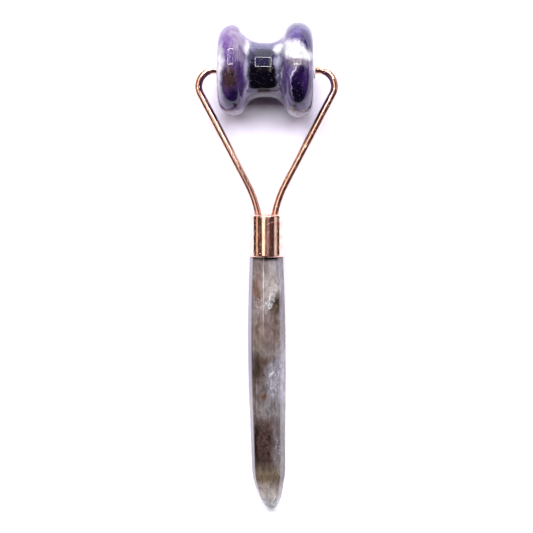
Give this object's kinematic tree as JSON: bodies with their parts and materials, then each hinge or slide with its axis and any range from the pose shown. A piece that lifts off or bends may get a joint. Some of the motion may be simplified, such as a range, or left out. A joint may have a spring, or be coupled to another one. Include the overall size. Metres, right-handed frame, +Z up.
{
  "type": "face roller",
  "caption": "Hand-held face roller: a waisted stone spool turns in a bent wire fork that a short ferrule joins to a pointed eight-sided stone handle.",
  "frame": {"origin": "centre of the bounding box's bottom face, on the table that the tool lies on", "axes": "+Z up from the table; +Y along the tool from the handle's tip to the roller; +X to the right, near the roller's spin axis"},
  "size_m": [0.044, 0.1495, 0.0292],
  "materials": {
    "banded_amethyst": "tumble-polished banded amethyst, gloss",
    "smoky_quartz": "polished smoky grey-brown quartz, gloss",
    "rose_gold_plate": "polished rose gold plating on brass",
    "natural_nylon": "moulded natural nylon",
    "clear_epoxy": "cured clear epoxy, slightly yellow"
  },
  "bodies": {
    "handle": {"fork_wire": "rose_gold_plate", "ferrule_shell": "rose_gold_plate", "ferrule_cap": "rose_gold_plate", "ferrule_potting": "clear_epoxy", "handle_stone": "smoky_quartz"},
    "roller": {"roller_stone": "banded_amethyst", "left_bush": "natural_nylon", "right_bush": "natural_nylon", "left_bush_glue": "clear_epoxy", "right_bush_glue": "clear_epoxy"}
  },
  "joints": [
    {"name": "roller_spin", "type": "hinge", "parent": "handle", "child": "roller", "pos_m": [0, 0.06014, 0.01427], "axis": [0.9994, -0.0027, 0.0343], "continuous": true}
  ]
}
